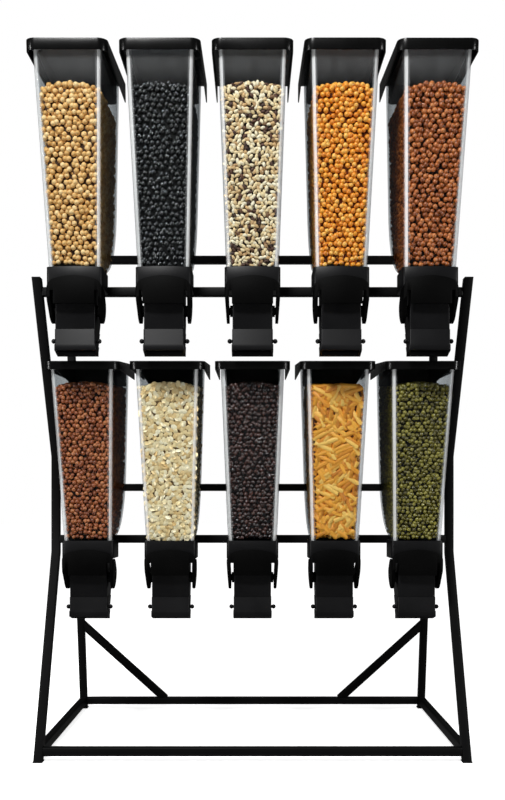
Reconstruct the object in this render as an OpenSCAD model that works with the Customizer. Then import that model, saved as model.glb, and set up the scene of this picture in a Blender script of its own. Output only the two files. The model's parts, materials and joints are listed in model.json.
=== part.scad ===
// Rack of ten gravity bulk food bins on a leaning steel tube stand.
// Millimetres, +Z up, front towards -Y, floor at Z = 0, centred on X = 0.

/* [Stand] */
// Width over the two side frames
stand_w = 960; // [930:5:1100]
// Outside width of the square steel tube
tube = 19; // [17:1:20]
// Wall of the steel tube
tube_wall = 1.5; // [1:0.1:2]
// Height of the plastic foot glides
foot_h = 3; // [2:0.5:5]
// How far the front legs run back before they turn upright
leg_run = 184; // [170:2:200]
// Height where the leg turns upright
upright_z0 = 453; // [440:1:460]
// Height where the upright turns forward into the arm
upright_z1 = 682; // [660:1:700]
// How far the arm reaches forward
arm_reach = 196; // [180:2:210]
// Height of the arm's cut top
arm_top_z = 1060; // [1052:1:1090]
// Front face of the rear post at the floor
rear_foot_y = 550; // [520:5:600]
// Height of the rear post
rear_post_h = 1200; // [1150:5:1260]
// Lean of the rear post, in degrees from upright
rear_post_lean = 10.6; // [8:0.2:12]
// Height of the link between upright and rear post
link_z = 660; // [650:1:670]
// Underside of the base rails above the floor
base_rail_z = 12; // [8:1:20]
// Height at which a corner brace meets the rear post
brace_rise = 235; // [200:5:280]
// Where the corner brace meets the rear base rail, from the inner face of the post
brace_run = 224; // [200:4:260]

/* [Hanging rails] */
// Centre height of the upper front rail
upper_front_rail_z = 1032; // [1024:1:1038]
// Centre height of the lower front rail
lower_front_rail_z = 484; // [470:1:500]
// Centre height of the lower rear rail
lower_rear_rail_z = 613; // [590:1:640]

/* [Rows of bins] */
// Bins in each row
bins_per_row = 5; // [5]
// Gap between an end lid and the side frame
side_gap = 7; // [4:0.5:12]
// Forward lean of every bin, in degrees
lean = 7; // [6:0.5:8]
// Front face of the upper rail behind the middle of the collar
upper_reach = 47; // [43:1:48]
// Front face of the lower rail behind the middle of the collar
lower_reach = 73; // [70:1:76]
// Top of the collar above the top of the upper rail
upper_rise = 19.5; // [17:0.5:24]
// Top of the collar below the top of the lower rail
lower_drop = 9.5; // [5:0.5:10]

/* [Hopper] */
// Height of an upper hopper above its neck
upper_hopper_h = 440; // [410:2:460]
// Height of a lower hopper above its neck
lower_hopper_h = 400; // [380:2:404]
// Room between the hopper's rim and the lid's skirt on each side
rim_room = 3.5; // [2:0.5:5]
// Width of the hopper at the neck
neck_w = 111; // [106:1:112]
// Front wall in front of the neck's middle
neck_front = 42; // [40:0.5:42.5]
// Rear wall behind the neck's middle
neck_rear = 30; // [28:0.5:31]
// Extra run of the front wall from neck to top
front_slant = 33; // [28:1:38]
// Extra run of the rear wall above the curve
rear_slant = 7; // [4:1:10]
// Radius of the curved rear floor
floor_r = 147; // [140:1:155]
// Wall of the clear hopper
hopper_wall = 3; // [2.5:0.1:3.5]
// Radius of the hopper's upright corners
hopper_corner = 12; // [9:1:14]
// Depth of the neck that plugs into the collar
neck_h = 12; // [9:0.5:13]
// How far the rim stands out at the sides
rim_side = 6; // [4:0.5:7]
// Thickness of the rim
rim_h = 5; // [4:0.5:7]

/* [Food] */
// Height of the food in an upper hopper
upper_fill = 356; // [300:1:370]
// Height of the food in a lower hopper
lower_fill = 346; // [300:1:346]
// Rise of the heaped food in its middle
fill_crown = 13; // [6:1:16]
// Width of the slope on each side of the heap
fill_slope = 40; // [30:1:46]

/* [Lid] */
// Gap between neighbouring lids
lid_gap = 22; // [18:1:28]
// Front band of an upper lid
lid_band = 22; // [18:1:26]
// Front band of a lower lid
lower_lid_band = 18; // [16:1:24]
// Extra depth of the side skirt at the rear
skirt_drop = 18; // [10:1:22]
// Wall of the lid
lid_wall = 2.5; // [2:0.1:3]
// Thickness of the lid's top
lid_top = 4.7; // [3.5:0.1:5.5]
// Lid's front in front of the hopper
lid_nose = 8; // [7:0.5:10]
// Radius of the lid's front corners
lid_corner = 20; // [16:1:24]
// Hinge barrel radius
barrel_r = 6; // [5:0.5:6.5]
// Hinge pin radius
lid_pin_r = 2.5; // [2:0.1:3]
// Length of the hinge pin
lid_pin_l = 100; // [80:2:110]
// Length of the hopper's middle knuckle
knuckle_l = 39; // [30:1:44]

/* [Outlet housing] */
// Width of the collar
collar_w = 117; // [116:1:118]
// Height of the collar
collar_h = 40; // [38:0.5:42]
// Front of the collar from the neck's middle
collar_front = 51; // [50:0.5:51.5]
// Rear of the collar from the neck's middle
collar_rear = 38; // [37:0.5:38.5]
// Radius of the bowed front
bow_r = 280; // [260:5:320]
// Radius of the collar's upright corners
collar_corner = 8; // [6:0.5:9]
// Width of the chute
chute_w = 84; // [80:1:85]
// Front of the chute from the neck's middle
chute_front = 36; // [35.5:0.5:37]
// Rear of the chute from the neck's middle
chute_rear = 34; // [32:0.5:35]
// Depth of the chute's mouth
mouth_depth = 32; // [30:1:36]
// Drop of the mouth's rear edge below its front edge
mouth_drop = 8; // [4:0.5:10]
// Height of the outlet housing, collar to mouth
outlet_h = 172; // [168:1:176]
// Height at which the chute's rear wall turns forward
slant_z = -105; // [-110:1:-102]
// Wall of the outlet housing
chute_wall = 2.5; // [2:0.1:2.8]
// Height of the seam across the chute
seam_z = -127; // [-132:1:-122]
// Height of the rim band at the mouth
mouth_band = 12; // [8:1:16]
// Height of the bag pegs
peg_z = -151; // [-154:1:-146]
// Reach of the bag pegs beside the chute
peg_l = 7; // [6:0.5:9]
// Radius of a bag peg's stem
peg_r = 3.5; // [2.5:0.5:4]
// Radius of a bag peg's ball
peg_ball = 5; // [4.5:0.5:6]

/* [Lever and gate] */
// Height of the lever's pivot
pivot_z = -85; // [-87:0.5:-84]
// Pivot in front of the neck's middle
pivot_y = -8; // [-8.5:0.5:-7.5]
// Radius of the pivot shaft
shaft_r = 4; // [3:0.1:4.5]
// Radius of the gate's curved plate
gate_r = 24.5; // [23:0.1:24.6]
// Thickness of the gate
gate_t = 2.5; // [2:0.1:3]
// Half angle of the gate's curved plate
gate_half = 46; // [45:0.5:48]
// Radius of the arm's round end
arm_end_r = 26; // [22:1:27]
// Top of the lever's hood
hood_z = -20; // [-22:1:-18]
// Lower edge of the hood beside the tongue
hood_low_z = -50; // [-52:1:-46]
// Radius of the hood's arched top edge
arch_r = 150; // [130:5:240]
// Radius of the hood's shoulders
shoulder_r = 22; // [14:1:26]
// Thickness of a lever arm at its top
arm_t = 8.5; // [5:0.5:9]
// Thickness of a lever arm at its end
arm_end_t = 6; // [4.5:0.5:6.5]
// Lower edge of the hood's tongue
tongue_z = -78; // [-79:1:-70]
// Thickness of the hood
hood_t = 3.5; // [3:0.1:4]
// Gap between collar and hood
hood_gap = 1.5; // [1.2:0.1:2]
// Radius of the spring drums on the chute
drum_r = 12; // [11:0.5:14]

/* [Rail brackets] */
// Width of a bracket
bracket_w = 60; // [40:2:80]
// Thickness of a bracket
bracket_t = 3; // [2.5:0.1:4]
// Depth of the bracket's lip behind the rail
lip_h = 12; // [8:1:16]

/* [Hidden] */
$fn = 96;
// Small gap between pieces that only sit next to each other
seat = 0.3;
// Radial play of a shaft that turns in a bore
play = 0.05;
// Radial play of a pin that stays put
snug = 0.02;
// Overrun of cutting shapes
over = 1;
// Sides of the circles in the smoothed hopper shapes
smooth_fn = 16;

bin_count = 2 * bins_per_row;
BINS = [1:bin_count];
half_w = stand_w / 2;
inner_x = half_w - tube;
pitch = (2 * inner_x - 2 * side_gap + lid_gap) / bins_per_row;
lid_w = pitch - lid_gap;
hopper_top_w = lid_w - 2 * (lid_wall + rim_room + rim_side);

// Centre line of the side frame's front zigzag, as [y, z]
leg_lean = atan(leg_run / upright_z0);
foot_y = tube / 2 / cos(leg_lean);
upright_y = leg_run + tube / 2;
arm_y = leg_run - arm_reach + tube / 2;
rear_tan = tan(rear_post_lean);
base_mid_z = base_rail_z + tube / 2;

function rear_post_y(z) = rear_foot_y + tube / 2 - z * rear_tan;
function leg_y(z) = foot_y + (upright_y - foot_y) * z / upright_z0;
function arm_mid_y(z) = upright_y + (arm_y - upright_y) * (z - upright_z1) / (arm_top_z - upright_z1);

// Centre line of the front leg, upright and arm, run on past both cut ends
ZIGZAG = [
    [leg_y(-tube), -tube], [upright_y, upright_z0], [upright_y, upright_z1],
    [arm_mid_y(arm_top_z + 2 * tube), arm_top_z + 2 * tube]];

upper_front_rail_y = arm_mid_y(upper_front_rail_z);
lower_front_rail_y = upright_y;
upper_rear_rail_z = rear_post_h - tube / 2;

// Bin places: number k counts the upper row from the left, then the lower row
function is_upper(k) = k <= bins_per_row;
function column(k) = is_upper(k) ? k - 1 : k - 1 - bins_per_row;
function bin_x(k) = (column(k) - (bins_per_row - 1) / 2) * pitch;
function reach(k) = is_upper(k) ? upper_reach : lower_reach;
function rail_y(k) = is_upper(k) ? upper_front_rail_y : lower_front_rail_y;
function rail_z(k) = is_upper(k) ? upper_front_rail_z : lower_front_rail_z;
function rail_top(k) = is_upper(k) ? -upper_rise : lower_drop;
function bin_y(k) = rail_y(k) - tube / 2 - reach(k);
function bin_z(k) = rail_z(k) + tube / 2 - rail_top(k);
function hopper_h(k) = is_upper(k) ? upper_hopper_h : lower_hopper_h;
function fill_h(k) = is_upper(k) ? upper_fill : lower_fill;
function band(k) = is_upper(k) ? lid_band : lower_lid_band;

// Hopper outline at height w above the neck, for a hopper of height h
function side_at(w, h) = neck_w / 2 + (hopper_top_w - neck_w) / 2 * w / h;
function front_at(w, h) = -neck_front - front_slant * w / h;
function rear_at(w, h) = neck_rear + floor_r + rear_slant * (w - floor_r) / (h - floor_r);

// Depth of the whole rack, from the front of the upper lids to the rear feet
glide = tube + 3;
front_most = bin_y(1) + (front_at(1, 1) - lid_nose) * cos(lean)
    - (upper_hopper_h + seat + lid_top) * sin(lean);
rear_most = rear_post_y(foot_h) + glide / 2;
mid_y = (front_most + rear_most) / 2;

hinge_drop = barrel_r + over;
hinge_back = barrel_r + 5;
rim_rear = 3.5;
rim_front = 3;
pocket_z = -neck_h - seat;
arm_in = collar_w / 2 - arm_t;
arm_back = bow_r - collar_front - sqrt(bow_r * bow_r - arm_in * arm_in) - seat;
mouth_low = -outlet_h - 2 * mouth_drop;
drum_l = 5.5;
hub_r = 8;
shaft_half = collar_w / 2 - 4.5;

// ---------------------------------------------------------------- helpers

// Moves a bin's own shapes to place k; the children stay upright
module at_bin(k) {
    translate([bin_x(k), bin_y(k) - mid_y, bin_z(k)]) children();
}

// Leans the children forward with the hopper
module leaned() {
    rotate([lean, 0, 0]) children();
}

// Turns an outline drawn as [y, z] into a solid of width w centred on X
module along_x(w) {
    rotate([90, 0, 90]) linear_extrude(w, center = true) children();
}

// Turns an outline drawn as [x, z] into a solid from y0 to y1
module along_y(y0, y1) {
    translate([0, y1, 0]) rotate([90, 0, 0]) linear_extrude(y1 - y0) children();
}

// A straight bar of width w from p to q
module bar(p, q, w) {
    d = q - p;
    translate(p) rotate(atan2(d[1], d[0])) translate([0, -w / 2]) square([norm(d), w]);
}

function unit(v) = v / norm(v);
function left_of(v) = [-v[1], v[0]];

// Direction of a path's stretch that ends at point i, or starts there for the first point
function before(path, i) = unit(path[max(i, 1)] - path[max(i, 1) - 1]);
function after(path, i) = unit(path[min(i, len(path) - 2) + 1] - path[min(i, len(path) - 2)]);

// Point i of a path, moved to its left by d with a mitre at the bends
function beside(path, i, d) = let (m = left_of(unit(before(path, i) + after(path, i))))
    path[i] + m * d / (m * left_of(before(path, i)));

// A mitred strip that reaches d to both sides of a path
module strip(path, d) {
    last = len(path) - 1;
    polygon(concat([for (i = [0:last]) beside(path, i, -d)], [for (i = [last:-1:0]) beside(path, i, d)]));
}

// A rectangle with rounded corners, from low to high
module round_rect(low, high, r) {
    translate([low[0] + r, low[1]]) square([high[0] - low[0] - 2 * r, high[1] - low[1]]);
    translate([low[0], low[1] + r]) square([high[0] - low[0], high[1] - low[1] - 2 * r]);
    for (x = [low[0] + r, high[0] - r], y = [low[1] + r, high[1] - r])
        translate([x, y]) circle(r);
}

// ---------------------------------------------------------------- stand

// The front zigzag of a side frame, cut level at the foot and at the top. Where trim is
// more than 0, for the hollow inside, it ends below the top and runs out at the foot.
module zigzag(w, trim) {
    low = trim > 0 ? foot_h - over : foot_h;
    intersection() {
        strip(ZIGZAG, w / 2);
        translate([-arm_reach, low]) square([rear_foot_y, arm_top_z - trim - low]);
    }
}

// The rear post of a side frame, cut level at both ends, with trim as above
module rear_post(w, trim) {
    low = trim > 0 ? foot_h - over : foot_h;
    intersection() {
        bar([rear_post_y(-tube), -tube], [rear_post_y(rear_post_h + tube), rear_post_h + tube], w);
        translate([0, low]) square([2 * rear_foot_y, rear_post_h - trim - low]);
    }
}

module frame_outline(w, trim) {
    zigzag(w, trim);
    rear_post(w, trim);
    bar([leg_y(base_mid_z), base_mid_z], [rear_post_y(base_mid_z), base_mid_z], w);
    bar([upright_y, link_z], [rear_post_y(link_z), link_z], w);
}

// One welded side frame of hollow square tube, centred on X = 0
module side_frame() {
    color("#161617") difference() {
        along_x(tube) frame_outline(tube, 0);
        along_x(tube - 2 * tube_wall) frame_outline(tube - 2 * tube_wall, tube_wall);
    }
}

module side_frame_left() {
    translate([-half_w + tube / 2, -mid_y, 0]) side_frame();
}

module side_frame_right() {
    translate([half_w - tube / 2, -mid_y, 0]) side_frame();
}

// A hollow cross rail between the side frames, centred at [y, z]
module rail(y, z) {
    core = tube - 2 * tube_wall;
    translate([0, y - mid_y, z]) difference() {
        cube([2 * inner_x, tube, tube], center = true);
        cube([2 * inner_x - 2 * tube_wall, core, core], center = true);
    }
}

module hanging_rails() {
    color("#161617") {
        rail(upper_front_rail_y, upper_front_rail_z);
        rail(rear_post_y(upper_rear_rail_z), upper_rear_rail_z);
        rail(lower_front_rail_y, lower_front_rail_z);
        rail(rear_post_y(lower_rear_rail_z), lower_rear_rail_z);
    }
}

// One corner brace, drawn in the leaning plane of the rear posts as [x, run up the post]
module brace_outline(w, trim) {
    up = 1 / cos(rear_post_lean);
    foot = [inner_x - brace_run, base_mid_z * up];
    head = [inner_x, brace_rise * up];
    step = (head - foot) / norm(head - foot) * tube;
    floor_s = (base_rail_z + tube) * up + tube / 2 * rear_tan + seat + trim;
    intersection() {
        bar(foot - step, head + step, w);
        translate([0, floor_s]) square([inner_x - trim, rear_post_h]);
    }
}

module corner_brace() {
    translate([0, rear_foot_y + tube / 2 - mid_y, 0]) rotate([90 + rear_post_lean, 0, 0]) difference() {
        linear_extrude(tube, center = true) brace_outline(tube, 0);
        linear_extrude(tube - 2 * tube_wall, center = true) brace_outline(tube - 2 * tube_wall, tube_wall);
    }
}

module base_frame() {
    color("#161617") {
        rail(leg_y(base_mid_z), base_mid_z);
        rail(rear_post_y(base_mid_z), base_mid_z);
        corner_brace();
        mirror([1, 0, 0]) corner_brace();
    }
}

module foot_glides() {
    color("#0e0e0f") for (x = [-half_w + tube / 2, half_w - tube / 2], y = [leg_y(foot_h), rear_post_y(foot_h)])
        translate([x - glide / 2, y - mid_y - glide / 2, 0]) cube([glide, glide, foot_h]);
}

// ---------------------------------------------------------------- hopper and food

// Upright corner posts of one level slice of the hopper, as thin plates for hull
module corners(side, ys, w, r) {
    for (x = [-side + r, side - r], y = ys) translate([x, y, w]) cylinder(r = r, h = 0.01, $fn = smooth_fn);
}

// The hopper's smooth body above the neck, shrunk by inset, from its floor to height top
module hopper_form(h, inset, top) {
    r = hopper_corner - inset;
    turn = floor_r - inset;
    low = inset;
    hull() {
        corners(side_at(low, h) - inset, [front_at(low, h) + inset + r, neck_rear - r], low, r);
        for (a = [18:18:90]) {
            w = floor_r - turn * cos(a);
            corners(side_at(w, h) - inset - over / 50, [neck_rear + turn * sin(a) - r], w, r);
        }
        corners(side_at(top, h) - inset, [front_at(top, h) + inset + r, rear_at(top, h) - inset - r], top, r);
        children();
    }
}

module neck(inset, low, high) {
    side = neck_w / 2 - inset;
    translate([0, 0, low]) linear_extrude(high - low)
        round_rect([-side, -neck_front + inset], [side, neck_rear - inset], hopper_corner - inset);
}

// Where the lid hinge lies behind a hopper of height h, as [0, back, up]
function hinge_at(h) = [0, rear_at(h, h) + hinge_back, h - hinge_drop];

module hopper(k) {
    h = hopper_h(k);
    rim_x = hopper_top_w / 2 + rim_side;
    color([0.93, 0.95, 0.96, 0.35]) at_bin(k) leaned() difference() {
        union() {
            hopper_form(h, 0, h);
            neck(0, -neck_h, over);
            translate([0, 0, h - rim_h]) linear_extrude(rim_h)
                round_rect([-rim_x, front_at(h, h) - rim_front], [rim_x, rear_at(h, h) + rim_rear], hopper_corner + 2);
            translate(hinge_at(h)) rotate([0, 90, 0]) cylinder(r = barrel_r, h = knuckle_l, center = true);
            translate([-knuckle_l / 2, rear_at(h, h) - over, h - hinge_drop - barrel_r / 2])
                cube([knuckle_l, hinge_back + over, barrel_r]);
        }
        hopper_form(h, hopper_wall, h + over);
        neck(hopper_wall, -neck_h - over, hopper_wall + over);
        translate(hinge_at(h)) rotate([0, 90, 0]) cylinder(r = lid_pin_r + snug, h = knuckle_l + 2 * over, center = true);
    }
}

// Food in one hopper, heaped in the middle and falling towards the sides and the rear
module food(k) {
    h = hopper_h(k);
    inset = hopper_wall + seat;
    top = fill_h(k);
    front = front_at(top, h) + inset + hopper_corner;
    at_bin(k) leaned() hopper_form(h, inset, top)
        corners(side_at(top, h) - fill_slope, [front, (front + rear_at(top, h)) / 2],
            top + fill_crown, hopper_corner);
}

module food_upper() {
    color("#c79a5b") for (k = BINS) if (is_upper(k)) food(k);
}

module food_lower() {
    color("#b9a045") for (k = BINS) if (!is_upper(k)) food(k);
}

// ---------------------------------------------------------------- lid

module lid_plan(inset, h) {
    x = lid_w / 2 - inset;
    front = front_at(h, h) - lid_nose + inset;
    rear = rear_at(h, h) + lid_nose;
    round_rect([-x, front], [x, rear - lid_corner], lid_corner - inset);
    translate([-x, front + lid_corner]) square([2 * x, rear - front - lid_corner]);
}

module lid(k) {
    h = hopper_h(k);
    top = h + seat + lid_top;
    front = front_at(h, h) - lid_nose;
    rear = rear_at(h, h) + lid_nose;
    lug_l = (lid_pin_l - knuckle_l - 1) / 2;
    color("#121213") at_bin(k) leaned() difference() {
        union() {
            difference() {
                intersection() {
                    translate([0, 0, h - 3 * lid_band]) linear_extrude(4 * lid_band) lid_plan(0, h);
                    along_x(lid_w + over) polygon([
                        [front, top - band(k)], [front + lid_corner, top - band(k)],
                        [rear, top - band(k) - skirt_drop], [rear, top], [front, top]]);
                }
                translate([0, 0, h - 3 * lid_band]) linear_extrude(3 * lid_band + seat) lid_plan(lid_wall, h);
            }
            for (s = [-1, 1]) translate([s * (knuckle_l / 2 + 0.5 + lug_l / 2), 0, 0] + hinge_at(h)) {
                rotate([0, 90, 0]) cylinder(r = barrel_r, h = lug_l, center = true);
                translate([-lug_l / 2, -barrel_r, 0]) cube([lug_l, 2 * barrel_r, hinge_drop + seat + lid_top]);
            }
        }
        translate(hinge_at(h)) rotate([0, 90, 0])
            cylinder(r = lid_pin_r + play, h = lid_pin_l + 2 * over, center = true);
    }
}

module lid_pins() {
    color("#9a9c9f") for (k = BINS) at_bin(k) leaned() translate(hinge_at(hopper_h(k)))
        rotate([0, 90, 0]) cylinder(r = lid_pin_r, h = lid_pin_l, center = true);
}

// ---------------------------------------------------------------- outlet housing

// Everything behind a bowed front whose middle lies at y = -front
module behind_bow(front, low, high) {
    translate([0, bow_r - front, low]) cylinder(r = bow_r, h = high - low, $fn = 360);
}

// Plan of the collar: a bowed front whose middle lies at y = -front, with rounded corners
module bowed_plan(front, rear) {
    side = collar_w / 2;
    near = side - collar_corner;
    centre_y = bow_r - front - sqrt(pow(bow_r - collar_corner, 2) - near * near);
    meet_x = near * bow_r / (bow_r - collar_corner);
    intersection() {
        translate([0, bow_r - front]) circle(bow_r, $fn = 360);
        translate([-meet_x, -front - over]) square([2 * meet_x, front + over]);
    }
    translate([-side, centre_y]) square([2 * side, rear - collar_corner - centre_y]);
    translate([-near, centre_y]) square([2 * near, rear - centre_y]);
    for (x = [-near, near]) translate([x, rear - collar_corner]) circle(collar_corner);
    for (x = [-near, near]) translate([x, centre_y]) circle(collar_corner);
}

// Height of the mouth's sloping edge at depth y
function mouth_at(y) = -outlet_h - mouth_drop * (y + chute_front) / mouth_depth;

// Side outline of the chute, grown by g, between heights low and high
module chute_side(g, low, high) {
    turn = chute_rear - (mouth_depth - chute_front);
    intersection() {
        polygon([
            [-chute_front - g, over - collar_h], [chute_rear + g, over - collar_h], [chute_rear + g, slant_z],
            [chute_rear + g - turn, -outlet_h], [chute_rear + g - turn, mouth_low], [-chute_front - g, mouth_low]]);
        translate([-collar_front, low]) square([2 * collar_front, high - low]);
    }
}

module chute_block(g, low, high) {
    side = chute_w / 2 + g;
    intersection() {
        along_x(2 * side) chute_side(g, low, high);
        translate([0, 0, low]) linear_extrude(high - low)
            round_rect([-side, -chute_front - g], [side, chute_rear + g + over], 3);
    }
}

// A sloping lip inside the chute that guides the food onto the gate
module throat_lip(wall_y, tip, low) {
    along_x(chute_w - over) polygon([[wall_y, tip[1] + 20], tip, [wall_y, low]]);
}

module bag_peg() {
    translate([chute_w / 2 - over, -chute_front + 16, peg_z]) {
        rotate([0, 90, 0]) cylinder(r = peg_r, h = peg_l);
        translate([peg_l, 0, 0]) sphere(r = peg_ball);
    }
}

// A ring on the chute's side that holds the return spring
module spring_drum() {
    translate([chute_w / 2, pivot_y, pivot_z]) rotate([0, 90, 0]) difference() {
        translate([0, 0, -over]) cylinder(r = drum_r, h = drum_l + over);
        cylinder(r = drum_r - 2, h = drum_l + over);
    }
}

module outlet_housing(k) {
    side = collar_w / 2;
    funnel_top = neck_w / 2 - hopper_wall - 0.5;
    tube_side = chute_w / 2 - chute_wall;
    lip_gap = gate_r + 1.7;
    lip_x = lip_gap * sin(gate_half);
    lip_z = pivot_z + lip_gap * cos(gate_half);
    color("#131314") at_bin(k) difference() {
        union() {
            translate([0, 0, -collar_h]) linear_extrude(collar_h) bowed_plan(collar_front, collar_rear);
            chute_block(0, seam_z, over - collar_h);
            chute_block(0.8, mouth_low, seam_z - 1.2);
            chute_block(-0.4, seam_z - 1.2 - over, seam_z + over);
            chute_block(1.8, mouth_low, -outlet_h + mouth_band);
            for (s = [0, 1]) mirror([s, 0, 0]) {
                bag_peg();
                spring_drum();
            }
        }
        leaned() neck(-2 * seat, pocket_z, 3 * neck_h);
        intersection() {
            along_y(-neck_front + hopper_wall, chute_rear - chute_wall) polygon([
                [-funnel_top, 0], [-funnel_top, pocket_z - 6], [-tube_side, 3 - collar_h],
                [tube_side, 3 - collar_h], [funnel_top, pocket_z - 6], [funnel_top, 0]]);
            translate([-side, -chute_front - 1.5, 3 - collar_h])
                cube([2 * side, neck_rear + chute_front, collar_h]);
        }
        difference() {
            along_x(2 * tube_side) translate([0, 0]) polygon([
                [-chute_front + chute_wall, -collar_h / 2], [chute_rear - chute_wall, -collar_h / 2],
                [chute_rear - chute_wall, slant_z - 1],
                [mouth_depth - chute_front - chute_wall - 2, -outlet_h],
                [mouth_depth - chute_front - chute_wall - 2, mouth_low - over],
                [-chute_front + chute_wall, mouth_low - over]]);
            throat_lip(-chute_front, [pivot_y - lip_x, lip_z], lip_z - 9);
            throat_lip(chute_rear, [pivot_y + lip_x, lip_z], lip_z - 9);
        }
        along_x(collar_w) polygon([for (y = [-2 * chute_front, 2 * chute_rear]) [y, mouth_at(y)],
            [2 * chute_rear, 2 * mouth_low], [-2 * chute_front, 2 * mouth_low]]);
        translate([0, pivot_y, pivot_z]) rotate([0, 90, 0])
            cylinder(r = shaft_r + play, h = chute_w + 2 * over, center = true);
    }
}

// ---------------------------------------------------------------- lever and gate

// Front view of the lever's outer edge: an arch that runs into rounded shoulders
module lever_front() {
    side = collar_w / 2;
    low = pivot_z - 2 * arm_end_r;
    turn_x = side - shoulder_r;
    rise = sqrt(pow(arch_r - shoulder_r, 2) - turn_x * turn_x);
    centre_z = hood_z - arch_r;
    far = 2 * arch_r / (arch_r - shoulder_r);
    intersection() {
        translate([0, centre_z]) circle(arch_r, $fn = 360);
        translate([0, centre_z]) polygon([[0, 0], [turn_x * far, rise * far], [-turn_x * far, rise * far]]);
    }
    for (x = [-turn_x, turn_x]) translate([x, centre_z + rise]) circle(shoulder_r);
    translate([-side, low]) square([2 * side, centre_z + rise - low]);
}

// Front outline of the hood and its tongue, running past the lever's outer edge
module hood_front() {
    side = collar_w / 2 + over;
    tongue = chute_w / 2 + 1;
    translate([-side, hood_low_z]) square([2 * side, hood_z - hood_low_z + over]);
    translate([-tongue, tongue_z]) square([2 * tongue, hood_low_z - tongue_z + over]);
}

// Side outline of an arm: a round end at the pivot, running up into the hood
module arm_side() {
    front = collar_front + hood_gap + hood_t;
    under = -collar_h - 2;
    translate([pivot_y, pivot_z]) circle(arm_end_r);
    polygon([
        [-front, hood_z + over], [arm_back, hood_z + over], [arm_back, under],
        [pivot_y - 12, under], [pivot_y + arm_end_r * cos(45), pivot_z + arm_end_r * sin(45)],
        [pivot_y, pivot_z], [pivot_y - arm_end_r * cos(20), pivot_z - arm_end_r * sin(20)],
        [-front, pivot_z + 30]]);
}

// Front outline of the right arm, leaning inwards towards its end
module arm_front() {
    side = collar_w / 2;
    low = pivot_z - arm_end_r - over;
    run = 4 / (hood_low_z - low);
    polygon([
        [side + over, hood_z + over], [side + over, hood_low_z + over / run], [side - 4, low],
        [side - 4 - arm_end_t, low], [arm_in, hood_low_z], [arm_in, hood_z + over]]);
}

module lever(k) {
    front = collar_front + hood_gap + hood_t;
    rear = 2 * arm_end_r;
    color("#0f0f10") at_bin(k) difference() {
        intersection() {
            union() {
                difference() {
                    along_y(-front - 2 * over, -front / 2) hood_front();
                    behind_bow(front - hood_t, tongue_z - over, hood_z + 2 * over);
                }
                for (s = [0, 1]) mirror([s, 0, 0]) {
                    intersection() {
                        along_x(collar_w + 4 * over) arm_side();
                        along_y(-front - over, rear) arm_front();
                    }
                    translate([chute_w / 2 + drum_l + seat, pivot_y, pivot_z]) rotate([0, 90, 0])
                        cylinder(r = hub_r, h = arm_in - chute_w / 2 - drum_l);
                }
            }
            along_y(-front - 3 * over, rear + over) lever_front();
            translate([0, 0, pivot_z - rear]) linear_extrude(rear + hood_z - pivot_z + 3 * over)
                bowed_plan(front, rear + over);
        }
        translate([0, pivot_y, pivot_z]) rotate([0, 90, 0])
            cylinder(r = shaft_r + snug, h = collar_w + 2 * over, center = true);
    }
}

// A wedge of half angle a about straight up, for cutting sectors
module wedge(a) {
    far = 3 * gate_r;
    polygon([[0, 0], [far * sin(a), far * cos(a)], [0, 2 * far], [-far * sin(a), far * cos(a)]]);
}

module gate(k) {
    wide = chute_w - 2 * chute_wall - 2 * 0.5;
    color("#1c1c1e") at_bin(k) translate([0, pivot_y, pivot_z]) {
        along_x(wide) intersection() {
            difference() {
                circle(gate_r);
                circle(gate_r - gate_t);
            }
            wedge(gate_half);
        }
        for (s = [-1, 1]) translate([s * (wide - gate_t) / 2, 0, 0]) along_x(gate_t) {
            circle(hub_r);
            intersection() {
                circle(gate_r);
                wedge(gate_half);
            }
        }
        rotate([0, 90, 0]) cylinder(r = shaft_r, h = 2 * shaft_half, center = true);
    }
}

// Wound return springs inside the drums, as closed rings
module lever_springs() {
    spring_in = shaft_r + 1.5;
    color("#a3a5a8") for (k = BINS, s = [0, 1]) at_bin(k) mirror([s, 0, 0])
        translate([chute_w / 2 + seat, pivot_y, pivot_z]) rotate([0, 90, 0]) difference() {
            cylinder(r = drum_r - 2 - seat, h = drum_l - 2 * seat);
            translate([0, 0, -over]) cylinder(r = spring_in, h = drum_l + over);
        }
}

// ---------------------------------------------------------------- rail brackets

// A hook of steel strip that hangs bin k from its front rail, outline as [y, z]
module bracket_outline(k) {
    top = rail_top(k);
    front = reach(k);
    strap = min(top, -bracket_t);
    translate([collar_rear, -collar_h]) square([bracket_t, strap + bracket_t + collar_h]);
    translate([collar_rear, strap]) square([front - collar_rear, bracket_t]);
    translate([front - bracket_t, strap]) square([bracket_t, top - strap + bracket_t]);
    translate([front - bracket_t, top]) square([tube + 2 * bracket_t, bracket_t]);
    translate([front + tube, top - lip_h]) square([bracket_t, lip_h + bracket_t]);
}

module rail_brackets() {
    color("#1b1b1c") for (k = BINS) at_bin(k) along_x(bracket_w) bracket_outline(k);
}

// ---------------------------------------------------------------- nodes

for (k = BINS) {
    hopper(k);
    lid(k);
    outlet_housing(k);
    lever(k);
    gate(k);
}
side_frame_left();
side_frame_right();
hanging_rails();
base_frame();
foot_glides();
rail_brackets();
lid_pins();
lever_springs();
food_upper();
food_lower();
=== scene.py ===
"""Looks of a free-standing rack of ten gravity bulk food bins.

All sizes are in metres, in the rack's own frame: +Z is up, the outlets face -Y and the
origin lies on the floor in the middle of the rack.
"""

from __future__ import annotations

import json
import logging
import math
import random
from collections.abc import Iterator, Sequence
from dataclasses import dataclass
from enum import Enum
from typing import Any, ClassVar

import bmesh
import bpy
from mathutils import Matrix, Vector

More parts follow.
